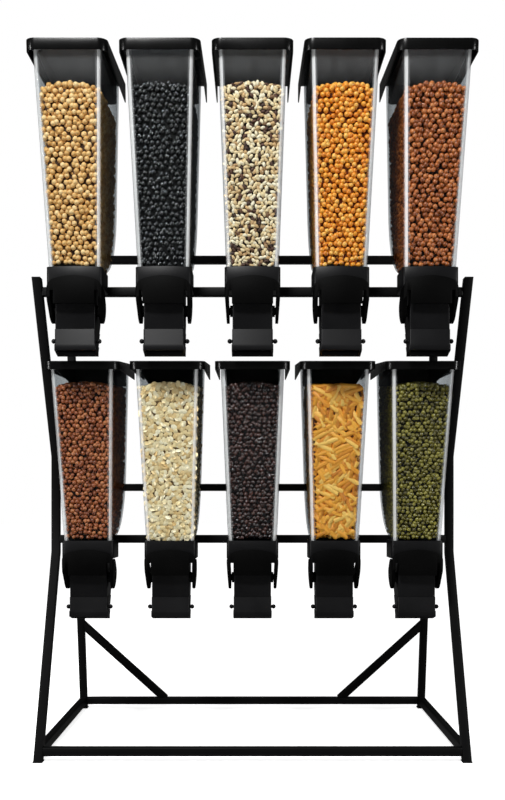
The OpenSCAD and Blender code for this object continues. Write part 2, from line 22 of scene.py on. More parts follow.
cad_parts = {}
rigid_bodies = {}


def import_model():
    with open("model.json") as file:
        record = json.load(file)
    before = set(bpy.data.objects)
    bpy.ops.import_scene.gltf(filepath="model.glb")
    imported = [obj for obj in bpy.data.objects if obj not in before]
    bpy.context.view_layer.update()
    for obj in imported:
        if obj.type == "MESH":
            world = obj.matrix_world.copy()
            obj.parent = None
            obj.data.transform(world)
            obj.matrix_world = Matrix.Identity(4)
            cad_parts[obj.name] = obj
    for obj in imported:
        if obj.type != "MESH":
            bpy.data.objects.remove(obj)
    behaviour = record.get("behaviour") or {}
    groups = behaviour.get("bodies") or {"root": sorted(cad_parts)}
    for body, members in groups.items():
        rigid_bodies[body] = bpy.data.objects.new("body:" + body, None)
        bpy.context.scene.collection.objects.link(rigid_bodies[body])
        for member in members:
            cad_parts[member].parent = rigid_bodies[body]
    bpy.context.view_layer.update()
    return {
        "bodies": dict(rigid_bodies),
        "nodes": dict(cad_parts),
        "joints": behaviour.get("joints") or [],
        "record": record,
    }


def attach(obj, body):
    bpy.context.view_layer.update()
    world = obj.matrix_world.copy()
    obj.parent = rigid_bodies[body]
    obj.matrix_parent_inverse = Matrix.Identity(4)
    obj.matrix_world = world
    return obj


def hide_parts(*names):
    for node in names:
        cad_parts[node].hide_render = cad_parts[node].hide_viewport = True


LOG = logging.getLogger("food_rack")

MM = 0.001
ROOT_BODY = "rack"
BIN_COUNT = 10
BINS_PER_ROW = 5

Point = Sequence[float]
BMesh = bmesh.types.BMesh


def linear(code: str) -> tuple[float, float, float, float]:
    """Turn a screen colour such as "#c79a5b" into linear RGBA.

    Args:
        code: The colour as a hash and six hexadecimal digits.

    Returns:
        Red, green, blue and an alpha of 1.
    """
    parts = [int(code[i : i + 2], 16) / 255 for i in (1, 3, 5)]
    red, green, blue = (p / 12.92 if p <= 0.04045 else ((p + 0.055) / 1.055) ** 2.4 for p in parts)
    return red, green, blue, 1.0


# ---------------- shader graphs


class Wire:
    """A value in a shader graph. Arithmetic on it adds Math nodes."""

    def __init__(self, graph: Graph, socket: bpy.types.NodeSocket) -> None:
        """Keep the graph and the output socket that carries the value."""
        self.graph = graph
        self.socket = socket

    def _math(self, operation: str, first: Any, second: Any = None) -> Wire:
        """Add one Math node.

        Args:
            operation: The node's operation.
            first: The first number or wire.
            second: The second number or wire, where the operation takes two.

        Returns:
            The node's value.
        """
        values = {0: first} if second is None else {0: first, 1: second}
        return self.graph.node("ShaderNodeMath", {"operation": operation}, values)

    def __add__(self, other: Any) -> Wire:
        """Add."""
        return self._math("ADD", self, other)

    def __radd__(self, other: Any) -> Wire:
        """Add, with the number on the left."""
        return self._math("ADD", other, self)

    def __sub__(self, other: Any) -> Wire:
        """Subtract."""
        return self._math("SUBTRACT", self, other)

    def __rsub__(self, other: Any) -> Wire:
        """Subtract from a number."""
        return self._math("SUBTRACT", other, self)

    def __mul__(self, other: Any) -> Wire:
        """Multiply."""
        return self._math("MULTIPLY", self, other)

    def __rmul__(self, other: Any) -> Wire:
        """Multiply, with the number on the left."""
        return self._math("MULTIPLY", other, self)

    def __pow__(self, other: Any) -> Wire:
        """Raise to a power."""
        return self._math("POWER", self, other)

    def limited(self) -> Wire:
        """Hold the value between 0 and 1."""
        return self._math("MINIMUM", self._math("MAXIMUM", self, 0.0), 1.0)


class Graph:
    """The node graph of one material or world."""

    def __init__(self, owner: bpy.types.Material | bpy.types.World) -> None:
        """Start an empty graph on a material or world."""
        owner.use_nodes = True
        self.tree = owner.node_tree
        self.tree.nodes.clear()

    def node(
        self, kind: str, settings: dict[str, Any], values: dict[Any, Any], output: Any = 0
    ) -> Wire:
        """Add a node.

        Args:
            kind: The node's type.
            settings: Properties set before its sockets, with "stops" for a colour ramp.
            values: Numbers, colours or wires for its input sockets, by name or place.
            output: The name or place of the output that is returned.

        Returns:
            The chosen output.
        """
        made = self.tree.nodes.new(kind)
        for name, value in settings.items():
            if name == "stops":
                self._set_stops(made.color_ramp, value)
            else:
                setattr(made, name, value)
        for name, value in values.items():
            socket = made.inputs[name]
            if isinstance(value, Wire):
                self.tree.links.new(value.socket, socket)
            else:
                socket.default_value = value
        return Wire(self, made.outputs[output]) if made.outputs else Wire(self, made.inputs[0])

    @staticmethod
    def _set_stops(ramp: bpy.types.ColorRamp, stops: Sequence[tuple[float, Point]]) -> None:
        """Fill a colour ramp.

        Args:
            ramp: The ramp.
            stops: The place and the colour of each stop.
        """
        while len(ramp.elements) > 1:
            ramp.elements.remove(ramp.elements[-1])
        ramp.elements[0].position, ramp.elements[0].color = stops[0]
        for place, colour in stops[1:]:
            ramp.elements.new(place).color = colour

    def place(self) -> Wire:
        """Return the point's place on the object, in metres."""
        return self.node("ShaderNodeTexCoord", {}, {}, "Object")

    def noise(self, scale: float, detail: float = 2.0, stretch: Point = (1, 1, 1)) -> Wire:
        """Return smooth noise around 0.5.

        Args:
            scale: Waves per metre.
            detail: How many finer waves are added.
            stretch: Scale along X, Y and Z.

        Returns:
            The noise value.
        """
        at = self.node("ShaderNodeMapping", {}, {"Vector": self.place(), "Scale": tuple(stretch)})
        return self.node("ShaderNodeTexNoise", {}, {"Vector": at, "Scale": scale, "Detail": detail})

    def blend(self, factor: Any, low: Any, high: Any) -> Wire:
        """Mix two colours.

        Args:
            factor: 0 for the first colour and 1 for the second.
            low: The first colour.
            high: The second colour.

        Returns:
            The mixed colour.
        """
        return self.node("ShaderNodeMix", {"data_type": "RGBA"}, {0: factor, 6: low, 7: high}, 2)

    def layered(self, factor: Any, under: Wire, over: Wire) -> Wire:
        """Mix two shaders, with the second one at a factor of 1."""
        return self.node("ShaderNodeMixShader", {}, {0: factor, 1: under, 2: over})

    def bump(self, height: Wire, depth: float, strength: float = 1.0) -> Wire:
        """Return a surface direction bent by a height.

        Args:
            height: The height between 0 and 1.
            depth: The height of 1, in metres.
            strength: The part of the effect that shows.

        Returns:
            The bent normal.
        """
        values = {"Height": height, "Distance": depth, "Strength": strength}
        return self.node("ShaderNodeBump", {}, values)

    def finish(self, shader: Wire, kind: str = "ShaderNodeOutputMaterial") -> None:
        """Send a shader to the output."""
        self.node(kind, {}, {"Surface": shader})

    def surface(self, values: dict[str, Any]) -> None:
        """Finish a material with the main surface shader and its values."""
        self.finish(self.node("ShaderNodeBsdfPrincipled", {}, values))


@dataclass(frozen=True)
class Finish:
    """A named surface finish."""

    name: str

    def build(self) -> bpy.types.Material:
        """Make the material."""
        material = bpy.data.materials.new(self.name)
        self.fill(Graph(material))
        return material

    def fill(self, graph: Graph) -> None:
        """Add the finish's nodes to its empty graph."""
        raise NotImplementedError


@dataclass(frozen=True)
class MouldedPlastic(Finish):
    """Black moulded plastic with a fine spark-eroded grain and rubbed patches."""

    colour: str
    rubbed: str
    roughness: float = 0.4
    grain: float = 1400.0
    depth: float = 0.00004
    gloss: float = 0.07

    def fill(self, graph: Graph) -> None:
        """Add the finish's nodes."""
        patches = graph.noise(9.0, 3.0)
        fine = graph.noise(self.grain, 1.0)
        patchy = ((patches - 0.42) * 3.0).limited()
        graph.surface(
            {
                "Base Color": graph.blend(patchy, linear(self.colour), linear(self.rubbed)),
                "Roughness": self.roughness + (patches - 0.5) * 0.18 + (fine - 0.5) * 0.08,
                "Specular IOR Level": self.gloss,
                "Normal": graph.bump(fine, self.depth),
            }
        )


@dataclass(frozen=True)
class PowderCoat(Finish):
    """Black powder coating with its orange-peel skin."""

    colour: str
    worn: str
    roughness: float = 0.46
    gloss: float = 0.06
    peel_depth: float = 0.00007

    def fill(self, graph: Graph) -> None:
        """Add the finish's nodes."""
        peel = graph.noise(900.0, 2.0)
        cloud = graph.noise(5.0, 4.0)
        specks = ((graph.noise(2600.0, 0.0) - 0.66) * 9.0).limited()
        wear = (cloud * 0.7 + specks * 0.3).limited()
        graph.surface(
            {
                "Base Color": graph.blend(wear, linear(self.colour), linear(self.worn)),
                "Roughness": self.roughness + (cloud - 0.5) * 0.16,
                "Specular IOR Level": self.gloss,
                "Normal": graph.bump(peel, self.peel_depth),
            }
        )


@dataclass(frozen=True)
class BrushedSteel(Finish):
    """Bright steel with fine lines around or along the piece."""

    colour: str
    lines: tuple[float, float, float]
    roughness: float = 0.3
    dull: str = "#8d9094"
    line_depth: float = 0.00005

    def fill(self, graph: Graph) -> None:
        """Add the finish's nodes."""
        scratch = graph.noise(120.0, 3.0, self.lines)
        graph.surface(
            {
                "Base Color": graph.blend(scratch, linear(self.colour), linear(self.dull)),
                "Metallic": 1.0,
                "Roughness": self.roughness + (scratch - 0.5) * 0.3,
                "Normal": graph.bump(scratch, self.line_depth),
            }
        )


@dataclass(frozen=True)
class ClearPlastic(Finish):
    """Clear polycarbonate: smoky at a slant, with a painted highlight on its front corners and painted
    light above the upper row's food.

    The share that mirrors goes from face_on, seen squarely, to slanted, seen along the wall.
    The painted headspace light starts at its set height and is full where the ramp ends.
    """

    body: str
    sheen: str
    # painted white, laid over the wall for the painted corner highlight and the painted headspace light
    painted_white: str = "#eceded"
    face_on: float = 0.006
    slanted: float = 0.55
    # strength of the painted highlight on the front corners
    corner: float = 0.3
    # painted light above the upper row's food, standing in for the light reflected in the headspace
    headspace_light: float = 0.017
    headspace_light_from: float = 1.405
    headspace_light_ramp: float = 0.04
    ripple_depth: float = 0.0008

    # face attribute that says where the painted corner highlight goes
    CORNER: ClassVar[str] = "corner_share"

    def fill(self, graph: Graph) -> None:
        """Add the finish's nodes."""
        ripple = graph.noise(9.0, 2.0, (1.0, 1.0, 0.2))
        smears = graph.noise(60.0, 2.0, (1.0, 1.0, 0.25))
        slant = graph.node("ShaderNodeLayerWeight", {}, {"Blend": 0.5}, "Facing")
        clear = graph.node("ShaderNodeBsdfTransparent", {}, {"Color": linear(self.body)})
        bright = graph.node(
            "ShaderNodeBsdfGlossy",
            {},
            {
                "Color": linear(self.sheen),
                "Roughness": 0.05 + (smears - 0.4).limited() * 0.15,
                "Normal": graph.bump(ripple, self.ripple_depth, 0.5),
            },
        )
        share = (self.face_on + slant**4.0 * self.slanted).limited()
        wall = graph.layered(share, clear, bright)
        # painted highlight: white diffuse laid over the front corners, where the clear wall would
        # mirror the lamps
        thick = graph.node("ShaderNodeAttribute", {"attribute_name": self.CORNER}, {}, "Fac")
        painted_white_layer = graph.node("ShaderNodeBsdfDiffuse", {}, {"Color": linear(self.painted_white)})
        # painted light: white laid over the wall above the upper row's food, where the headspace looks
        # lit
        up = graph.node("ShaderNodeSeparateXYZ", {}, {"Vector": graph.place()}, "Z")
        in_headspace = ((up - self.headspace_light_from) * (1 / self.headspace_light_ramp)).limited()
        painted_headspace_light = in_headspace * self.headspace_light * (0.4 + smears * 1.2)
        # share of painted white: the painted corner highlight plus the painted headspace light
        painted_light_share = (thick * self.corner * (0.4 + ripple * 1.2) + painted_headspace_light).limited()
        graph.finish(graph.layered(painted_light_share, wall, painted_white_layer))


@dataclass(frozen=True)
class FoodFinish(Finish):
    """Dry food: each grain has its own tone, and the core between the grains takes a darker colour that
    paints the shade in the gaps.

    The tones are (place, colour) stops from the darkest grain at 0 to the palest at 1.
    """

    # colour of the core between the grains: painted shade in the gaps
    deep: str
    tones: tuple[tuple[float, str], ...]
    speckle: str
    roughness: float = 0.5
    mottle: float = 0.25
    coat: float = 0.0
    skin_depth: float = 0.00004

    SHADE_END: ClassVar[float] = 0.05
    TONE_START: ClassVar[float] = 0.06

    def fill(self, graph: Graph) -> None:
        """Add the finish's nodes."""
        tone = graph.node("ShaderNodeAttribute", {"attribute_name": FoodLoad.TONE}, {}, "Fac")
        start = self.TONE_START
        # tones up to the shade end take the painted shade colour of the core between the grains
        stops = [(0.0, linear(self.deep)), (self.SHADE_END, linear(self.deep))]
        stops += [(start + (1 - start) * at, linear(code)) for at, code in self.tones]
        grain = graph.node("ShaderNodeValToRGB", {"stops": stops}, {"Fac": tone}, "Color")
        spots = ((graph.noise(420.0, 2.0) - 0.5) * 4.0).limited() * self.mottle
        skin = graph.noise(1500.0, 2.0)
        graph.surface(
            {
                "Base Color": graph.blend(spots, grain, linear(self.speckle)),
                "Roughness": self.roughness + (skin - 0.5) * 0.2,
                "Coat Weight": self.coat,
                "Coat Roughness": 0.16,
                "Normal": graph.bump(skin, self.skin_depth, 0.6),
            }
        )


# ---------------- mesh tools


def new_piece(
    name: str,
    bm: BMesh,
    finish: bpy.types.Material,
    body: str,
    slot: str,
    smooth_deg: float,
) -> bpy.types.Object:
    """Turn a bmesh into a named piece that rides on a body.

    Args:
        name: The piece's name.
        bm: The mesh, in the rack's frame. It is freed.
        finish: The piece's material.
        body: The body it rides on.
        slot: The record's material slot that it takes its finish from; not used.
        smooth_deg: Edges sharper than this stay sharp.

    Returns:
        The new object.
    """
    mesh = bpy.data.meshes.new(name)
    bm.to_mesh(mesh)
    bm.free()
    mesh.materials.clear()
    mesh.materials.append(finish)
    mesh.polygons.foreach_set("use_smooth", [True] * len(mesh.polygons))
    mesh.set_sharp_from_angle(angle=math.radians(smooth_deg))
    made = bpy.data.objects.new(name, mesh)
    bpy.context.scene.collection.objects.link(made)
    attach(made, body)
    return made


def merged_copy(node: bpy.types.Object) -> BMesh:
    """Copy a CAD node's mesh, with its corners joined and its flat faces whole again.

    Args:
        node: The CAD node.

    Returns:
        The closed copy.
    """
    bm = bmesh.new()
    bm.from_mesh(node.data)
    bmesh.ops.remove_doubles(bm, verts=bm.verts, dist=2e-6)
    bmesh.ops.dissolve_limit(
        bm,
        angle_limit=math.radians(0.4),
        use_dissolve_boundaries=False,
        verts=bm.verts,
        edges=bm.edges,
    )
    return bm


def only_verts(geometry: Sequence[Any]) -> list[bmesh.types.BMVert]:
    """Pick the vertices from what an operator returned."""
    return [part for part in geometry if isinstance(part, bmesh.types.BMVert)]


def bevelled(
    bm: BMesh,
    geometry: Sequence[Any],
    radius: float,
    segments: int,
    affect: str = "EDGES",
    clamp: bool = False,
) -> list[bmesh.types.BMFace]:
    """Bevel edges or corners.

    Args:
        bm: The mesh.
        geometry: The edges, or the corners of a flat face.
        radius: How far the rounding reaches.
        segments: Facets of each rounding.
        affect: What is rounded, "EDGES" or "VERTICES".
        clamp: Whether roundings stop where they would overlap.

    Returns:
        The faces of the roundings.
    """
    return bmesh.ops.bevel(
        bm,
        geom=geometry,
        offset=radius,
        offset_type="OFFSET",
        affect=affect,
        segments=segments,
        profile=0.5,
        material=-1,
        clamp_overlap=clamp,
    )["faces"]


def round_edges(bm: BMesh, radius: float, segments: int, sharper_deg: float = 28.0) -> None:
    """Round every edge that is sharper than an angle.

    Args:
        bm: The mesh.
        radius: How far the rounding reaches from the edge.
        segments: Facets of each rounding.
        sharper_deg: The smallest angle between faces that is rounded.
    """
    least = math.radians(sharper_deg)
    sharp = [e for e in bm.edges if len(e.link_faces) == 2 and e.calc_face_angle(0.0) > least]
    bevelled(bm, sharp, radius, segments, clamp=True)


def rounded_plate(bm: BMesh, low: Point, high: Point, radius: float, segments: int) -> None:
    """Add a level four-sided face with rounded corners.

    Args:
        bm: The mesh.
        low: Its left front corner.
        high: Its right rear corner, at the same height.
        radius: The corners' radius.
        segments: Facets of each corner.
    """
    up = low[2]
    places = ((low[0], low[1]), (high[0], low[1]), (high[0], high[1]), (low[0], high[1]))
    corners = [bm.verts.new((x, y, up)) for x, y in places]
    bm.faces.new(corners)
    bevelled(bm, corners, radius, segments, "VERTICES")


def add_block(bm: BMesh, low: Point, high: Point) -> None:
    """Add a block.

    Args:
        bm: The mesh.
        low: The block's lowest corner.
        high: Its highest corner.
    """
    size = [h - l for l, h in zip(low, high)]
    centre = [(h + l) / 2 for l, h in zip(low, high)]
    at = Matrix.Translation(centre) @ Matrix.Diagonal((*size, 1.0))
    bmesh.ops.create_cube(bm, size=1.0, matrix=at)


def append(bm: BMesh, extra: BMesh) -> None:
    """Add one bmesh to another.

    Args:
        bm: The mesh that grows.
        extra: The mesh that is added. It is freed.
    """
    carrier = bpy.data.meshes.new("carrier")
    extra.to_mesh(carrier)
    extra.free()
    bm.from_mesh(carrier)
    bpy.data.meshes.remove(carrier)


# ---------------- bins


@dataclass(frozen=True)
class BinPlace:
    """Where one bin hangs, by the middle of its collar's top."""

    number: int

    PITCH: ClassVar[float] = 186.0 * MM
    LEAN: ClassVar[float] = math.radians(7.0)
    UPPER: ClassVar[tuple[float, float]] = (-238.9035 * MM, 1061.0 * MM)
    LOWER: ClassVar[tuple[float, float]] = (-83.422 * MM, 484.0 * MM)

    @property
    def is_upper(self) -> bool:
        """Whether the bin hangs in the upper row."""
        return self.number <= BINS_PER_ROW

    @property
    def height(self) -> float:
        """Height of the hopper above its neck."""
        return (440.0 if self.is_upper else 400.0) * MM

    @property
    def fill(self) -> float:
        """Height of the food above the neck."""
        return (356.0 if self.is_upper else 346.0) * MM

    @property
    def form(self) -> HopperForm:
        """The outline of the bin's hopper."""
        return HopperForm(self.height)

    @property
    def upright(self) -> Matrix:
        """Matrix of the bin's upright frame."""
        y, z = self.UPPER if self.is_upper else self.LOWER
        column = (self.number - 1) % BINS_PER_ROW - (BINS_PER_ROW - 1) / 2
        return Matrix.Translation((column * self.PITCH, y, z))

    @property
    def leaned(self) -> Matrix:
        """Matrix of the frame that leans with the hopper."""
        return self.upright @ Matrix.Rotation(self.LEAN, 4, "X")


@dataclass(frozen=True)
class HopperForm:
    """The hopper's outline in its leaning frame: x across, y back and z up from the neck."""

    height: float

    TOP_SIDE: ClassVar[float] = 70.0 * MM
    NECK_SIDE: ClassVar[float] = 55.5 * MM
    NECK_FRONT: ClassVar[float] = 42.0 * MM
    NECK_REAR: ClassVar[float] = 30.0 * MM
    FRONT_SLANT: ClassVar[float] = 33.0 * MM
    REAR_SLANT: ClassVar[float] = 7.0 * MM
    FLOOR_R: ClassVar[float] = 147.0 * MM
    CORNER: ClassVar[float] = 12.0 * MM
    NECK_H: ClassVar[float] = 12.0 * MM
    # The painted corner highlight lies on this part of the front corners' rounding; the other rounded
    # faces get a faint share of it.
    HIGHLIGHT_FROM: ClassVar[float] = 0.35
    HIGHLIGHT_TO: ClassVar[float] = 0.78
    FAINT_HIGHLIGHT_SHARE: ClassVar[float] = 0.12

    def side(self, up: float) -> float:
        """Half width at a height."""
        return self.NECK_SIDE + (self.TOP_SIDE - self.NECK_SIDE) * up / self.height

    def front(self, up: float) -> float:
        """Place of the front wall at a height."""
        return -self.NECK_FRONT - self.FRONT_SLANT * up / self.height

    def rear(self, up: float) -> float:
        """Place of the rear wall at a height above or on the curved floor."""
        if up < self.FLOOR_R:
            return self.NECK_REAR + math.sqrt(max(0.0, self.FLOOR_R**2 - (self.FLOOR_R - up) ** 2))
        run = (up - self.FLOOR_R) / (self.height - self.FLOOR_R)
        return self.NECK_REAR + self.FLOOR_R + self.REAR_SLANT * run

    def shell(self, inset: float, low: float, top: float, steps: int) -> BMesh:
        """Build the hopper's smooth skin, open at the neck and at the top.

        Args:
            inset: How far the skin lies inside the outer wall.
            low: Height of the lower opening.
            top: Height of the upper opening.
            steps: Facets of the curved floor.

        Returns:
            The open skin, with its upright corners rounded and the painted corner highlight marked on
            their faces.
        """
        bm = bmesh.new()
        layer = bm.faces.layers.float.new(ClearPlastic.CORNER)
        floor = bm.verts.new((0, self.NECK_REAR + self.FLOOR_R - inset, self.FLOOR_R))
        turned = bmesh.ops.spin(
            bm,
            geom=[floor],
            cent=(0, self.NECK_REAR, self.FLOOR_R),
            axis=(1, 0, 0),
            dvec=(0, 0, 0),
            angle=-math.pi / 2,
            steps=steps,
            use_merge=False,
            use_duplicate=False,
        )
        last = only_verts(turned["geom_last"])[0]
        front_low = bm.verts.new((0, self.front(max(low, 0.0)) + inset, low))
        chain = [last, front_low]
        if low < last.co.z - MM:
            neck_rear = bm.verts.new((0, self.NECK_REAR - inset, low))
            last.co.y = self.NECK_REAR - inset
            chain = [last, neck_rear, front_low]
            if low < 0:
                chain.append(bm.verts.new((0, self.front(0.0) + inset, 0.0)))
        chain.append(bm.verts.new((0, self.front(top) + inset, top)))
        chain.append(bm.verts.new((0, self.rear(top) - inset, top)))
        chain.append(floor)
        for first, second in zip(chain, chain[1:]):
            bm.edges.new((first, second))
        outline = bmesh.ops.edgenet_fill(bm, edges=bm.edges)["faces"]
        moved = bmesh.ops.extrude_face_region(bm, geom=outline)["geom"]
        right = set(only_verts(moved))
        for vert in bm.verts:
            half = self.side(max(vert.co.z, 0.0)) - inset
            vert.co.x = half if vert in right else -half
        ends = [f for f in bm.faces if self._is_level(f, top) or self._is_level(f, low)]
        bmesh.ops.delete(bm, geom=ends, context="FACES_ONLY")
        shared = [e for e in bm.edges if len(e.link_faces) == 2]
        uprights = [e for e in shared if e.verts[0].co.x * e.verts[1].co.x > 0]
        # Mark the painted corner highlight on the rounded faces.
        for face in bevelled(bm, uprights, self.CORNER - inset, 5):
            middle = face.calc_center_median()
            in_front = middle.y < self.front(middle.z) + self.CORNER
            across = (abs(middle.x) - self.side(middle.z) + self.CORNER) / self.CORNER
            has_painted_highlight = in_front and self.HIGHLIGHT_FROM < across < self.HIGHLIGHT_TO
            face[layer] = 1.0 if has_painted_highlight else self.FAINT_HIGHLIGHT_SHARE
        bmesh.ops.recalc_face_normals(bm, faces=bm.faces)
        return bm

    @staticmethod
    def _is_level(face: bmesh.types.BMFace, up: float) -> bool:
        """Whether a face lies level at a height."""
        return all(abs(vert.co.z - up) < MM / 10 for vert in face.verts)


@dataclass
class Hopper:
    """A clear hopper with its rim flange and its hinge knuckle."""

    place: BinPlace
    finish: bpy.types.Material
    wall: float = 3.0 * MM
    rim_h: float = 5.0 * MM
    rim_side: float = 6.0 * MM
    rim_front: float = 3.0 * MM
    rim_rear: float = 3.5 * MM
    knuckle_r: float = 6.0 * MM
    bore_r: float = 2.6 * MM
    knuckle_l: float = 39.0 * MM
    knuckle_back: float = 11.0 * MM
    knuckle_drop: float = 7.0 * MM
    web_half: float = 3.0 * MM

    def build(self) -> bpy.types.Object:
        """Make the hopper in place of its CAD node."""
        form = self.place.form
        bm = form.shell(0.0, -form.NECK_H, form.height, 14)
        bmesh.ops.solidify(bm, geom=list(bm.faces), thickness=self.wall)
        self._add_rim(bm)
        self._add_knuckle(bm)
        bmesh.ops.transform(bm, matrix=self.place.leaned, verts=bm.verts)
        name = f"clear_hopper_{self.place.number}"
        made = new_piece(name, bm, self.finish, ROOT_BODY, "clear_plastic", 30.0)
        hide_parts(f"hopper_{self.place.number}")
        return made

    def _add_rim(self, bm: BMesh) -> None:
        """Add the flange around the hopper's top."""
        form = self.place.form
        top = form.height
        side = form.TOP_SIDE + self.rim_side
        rim = bmesh.new()
        low = (-side, form.front(top) - self.rim_front, top)
        rounded_plate(rim, low, (side, form.rear(top) + self.rim_rear, top), form.CORNER, 6)
        opening = rim.faces[:]
        width = self.rim_side + 0.2 * MM
        bmesh.ops.inset_region(rim, faces=opening, thickness=width, use_even_offset=True)
        bmesh.ops.delete(rim, geom=opening, context="FACES_ONLY")
        lower = bmesh.ops.extrude_face_region(rim, geom=rim.faces[:])["geom"]
        bmesh.ops.translate(rim, vec=(0, 0, -self.rim_h), verts=only_verts(lower))
        bmesh.ops.recalc_face_normals(rim, faces=rim.faces)
        round_edges(rim, 0.8 * MM, 2, 60.0)
        append(bm, rim)

    def _add_knuckle(self, bm: BMesh) -> None:
        """Add the middle knuckle of the lid's hinge."""
        top = self.place.form.height
        wall_y = self.place.form.rear(top)
        half = self.knuckle_l / 2
        centre = Vector((0, wall_y + self.knuckle_back, top - self.knuckle_drop))
        ring = bmesh.new()
        turn = Matrix.Translation(centre - Vector((half, 0, 0))) @ Matrix.Rotation(math.pi / 2, 4, "Y")
        for radius in (self.knuckle_r, self.bore_r):
            bmesh.ops.create_circle(ring, segments=28, radius=radius, matrix=turn)
        bmesh.ops.bridge_loops(ring, edges=ring.edges[:])
        far = bmesh.ops.extrude_face_region(ring, geom=ring.faces[:])["geom"]
        bmesh.ops.translate(ring, vec=(self.knuckle_l, 0, 0), verts=only_verts(far))
        low = (-half, wall_y - 1.0 * MM, centre.z - self.web_half)
        add_block(ring, low, (half, centre.y - self.bore_r - 0.6 * MM, centre.z + self.web_half))
        bmesh.ops.recalc_face_normals(ring, faces=ring.faces)
        append(bm, ring)


@dataclass
class LidSeal:
    """The skirt under a lid that plugs into the hopper's top, deepest at the rear."""

    place: BinPlace
    finish: bpy.types.Material
    gap: float = 1.2 * MM
    wall: float = 3.0 * MM
    thick: float = 1.6 * MM
    front_depth: float = 9.0 * MM

    @property
    def rear_depth(self) -> float:
        """Depth of the skirt at the hinge, where it ends just above the food."""
        return (44.0 if self.place.is_upper else 48.0) * MM

    def build(self) -> bpy.types.Object:
        """Make the seal under its lid."""
        form = self.place.form
        top = form.height + 0.3 * MM
        low = form.height - self.rear_depth
        inset = self.wall + self.gap
        front, rear = form.front(low) + inset, form.rear(low) - inset - 1.5 * MM
        side = form.side(low) - inset
        bm = bmesh.new()
        rounded_plate(bm, (-side, front, top), (side, rear, top), form.CORNER - self.wall, 5)
        skirt = bmesh.ops.extrude_edge_only(bm, edges=bm.edges[:])["geom"]
        for vert in only_verts(skirt):
            run = (vert.co.y - front) / (rear - front)
            vert.co.z = form.height - self.front_depth - (self.rear_depth - self.front_depth) * run
        bmesh.ops.recalc_face_normals(bm, faces=bm.faces)
        bmesh.ops.solidify(bm, geom=list(bm.faces), thickness=self.thick)
        bmesh.ops.transform(bm, matrix=self.place.leaned, verts=bm.verts)
        number = self.place.number
        body = f"lid_body_{number}"
        return new_piece(f"lid_seal_{number}", bm, self.finish, body, "lid_plastic", 35.0)


# ---------------- food


Spot = tuple[Vector, Vector]  # where a grain lies, and the direction out of the food there


class GrainForm(Enum):
    """The basic shape of one piece of food."""

    BEAN = "bean"
    SEED = "seed"
    FLAKE = "flake"
    TUBE = "tube"


@dataclass(frozen=True)
class FoodKind:
    """One kind of dry food: its shape, half sizes and spacing in millimetres, and its finish.

    The tilt is how far a grain tips at random, in radians.
    """

    form: GrainForm
    half: tuple[float, float, float]
    pitch: float
    finish: FoodFinish
    tilt: float = 0.3


